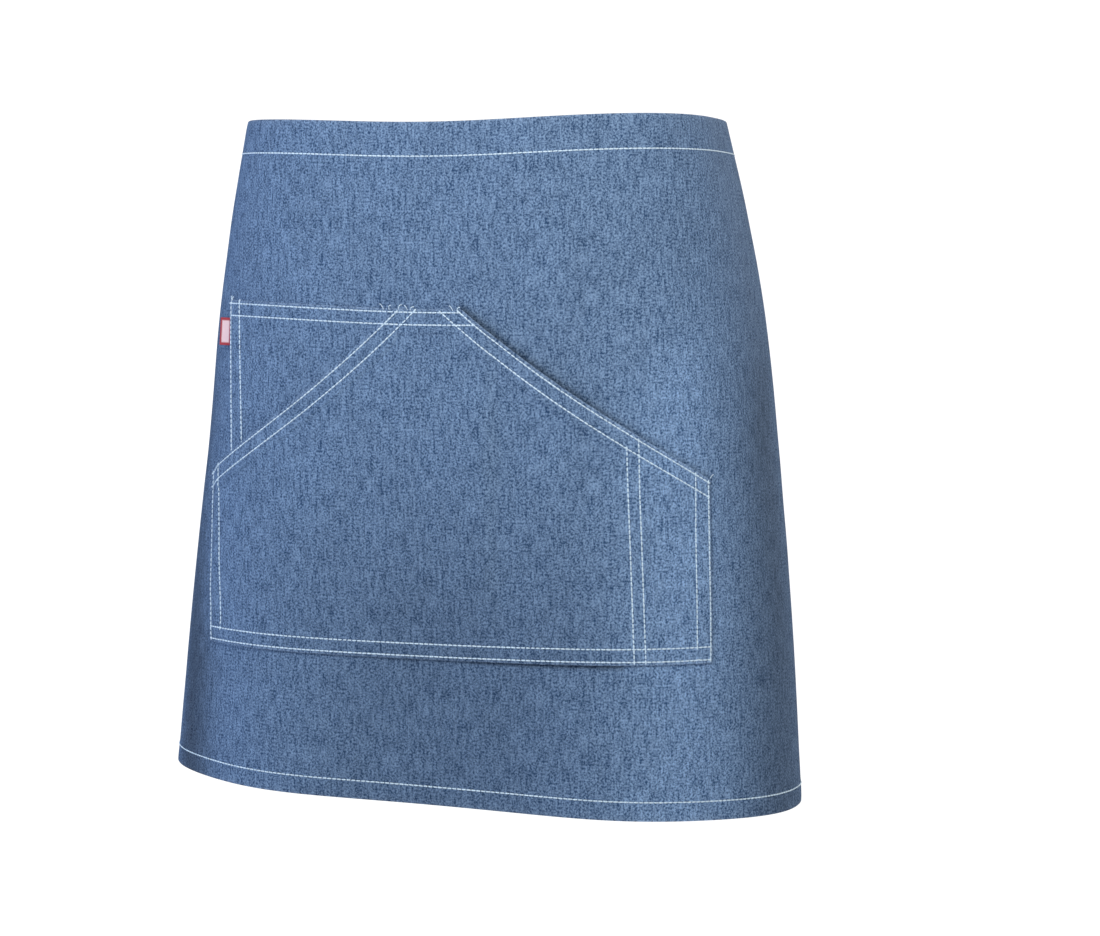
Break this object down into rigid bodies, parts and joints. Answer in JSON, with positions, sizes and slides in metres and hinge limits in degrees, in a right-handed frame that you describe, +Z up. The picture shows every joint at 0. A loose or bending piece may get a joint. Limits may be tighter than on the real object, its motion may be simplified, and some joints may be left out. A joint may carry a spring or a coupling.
{
  "type": "waist apron",
  "caption": "Denim waist apron in its worn form, with a wide slant-mouthed front pocket over a patch pocket, a side label and flat ties knotted at the back.",
  "frame": {"origin": "centre of the waist loop, halfway down the waist casing", "axes": "+Z up, the wearer faces -Y, and +X is the wearer's left"},
  "size_m": [0.4288, 0.2589, 0.451],
  "materials": {
    "denim": "washed mid-blue denim",
    "label": "woven red tape",
    "thread": "pale blue topstitch thread"
  },
  "bodies": {
    "root": {"apron_panel": "denim", "waist_casing": "denim", "hem_turn": "denim", "side_turn_left": "denim", "side_turn_right": "denim", "upper_pocket": "denim", "front_pocket": "denim", "label_tab": "label", "tie_left": "denim", "tie_right": "denim", "tie_knot": "denim", "tie_tail_left": "denim", "tie_tail_right": "denim"}
  },
  "joints": []
}
